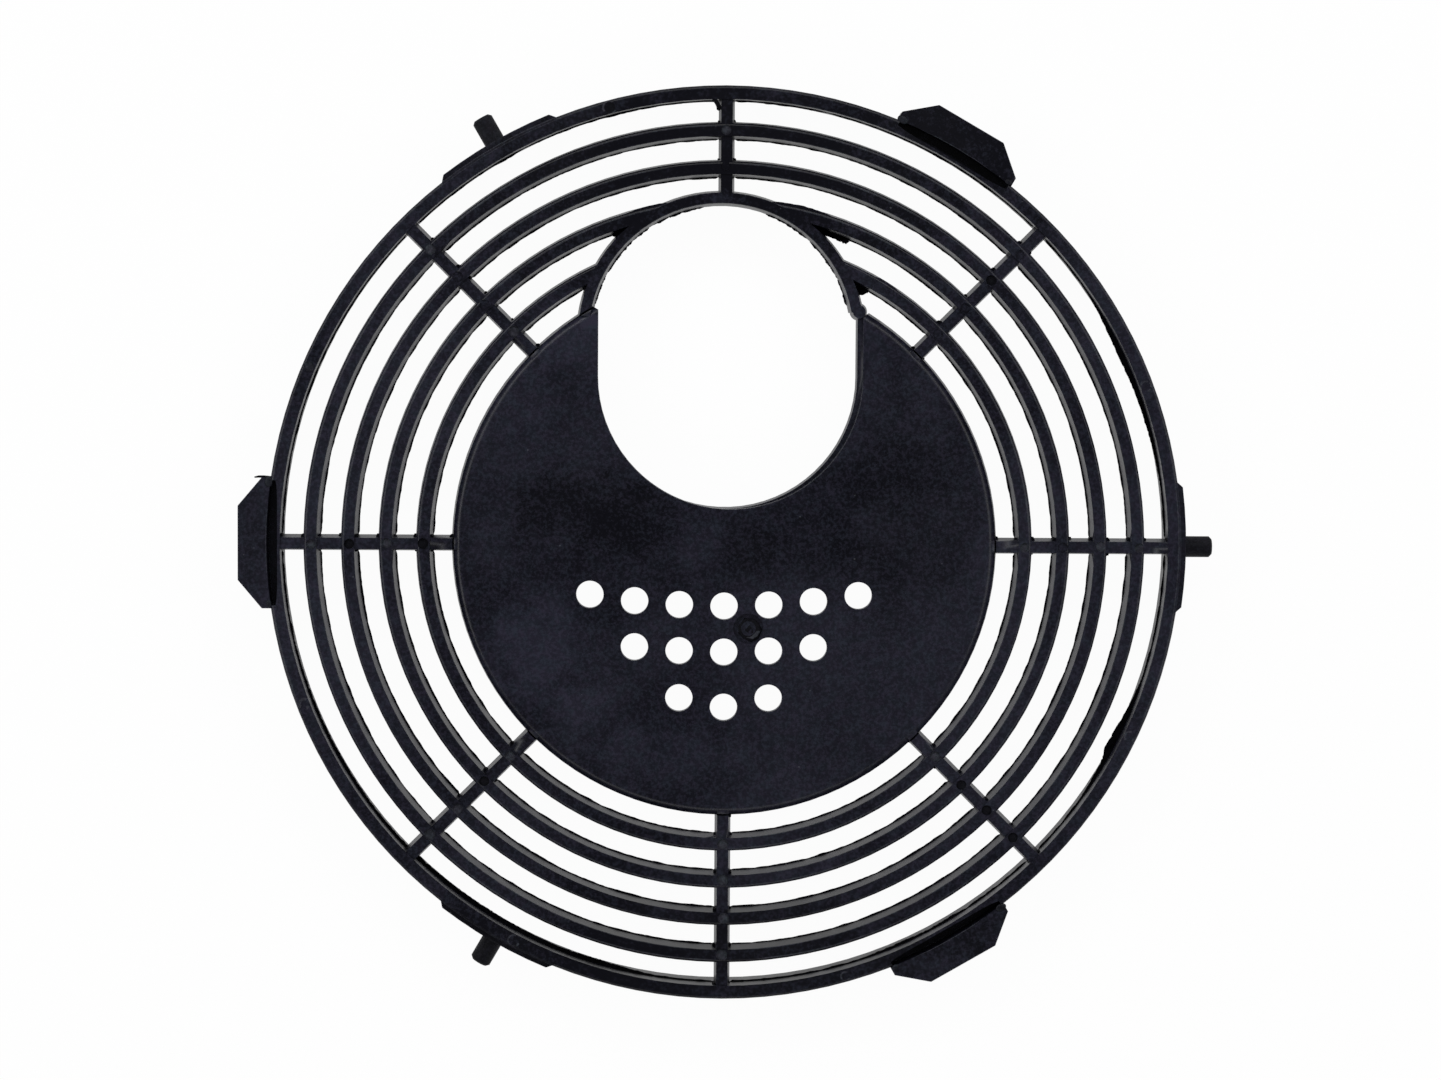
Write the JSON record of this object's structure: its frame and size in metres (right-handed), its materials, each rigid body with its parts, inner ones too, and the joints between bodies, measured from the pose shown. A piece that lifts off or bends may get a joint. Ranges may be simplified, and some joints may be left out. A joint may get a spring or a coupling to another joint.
{
  "type": "air inlet grille",
  "caption": "Round moulded plastic air inlet grille with concentric guard rings on spokes, a blanking disc with vent holes, a U-shaped opening, edge tabs and radial locating pins.",
  "frame": {"origin": "on the axis of the rim, at the rim's foot", "axes": "+Z out of the ribbed face, +Y toward the opening, +X along the first locating pin"},
  "size_m": [0.2133, 0.2, 0.0113],
  "materials": {
    "black_plastic": "matte black injection-moulded plastic with a faint blue cast"
  },
  "bodies": {
    "root": {"inlet_grille": "black_plastic"}
  },
  "joints": []
}
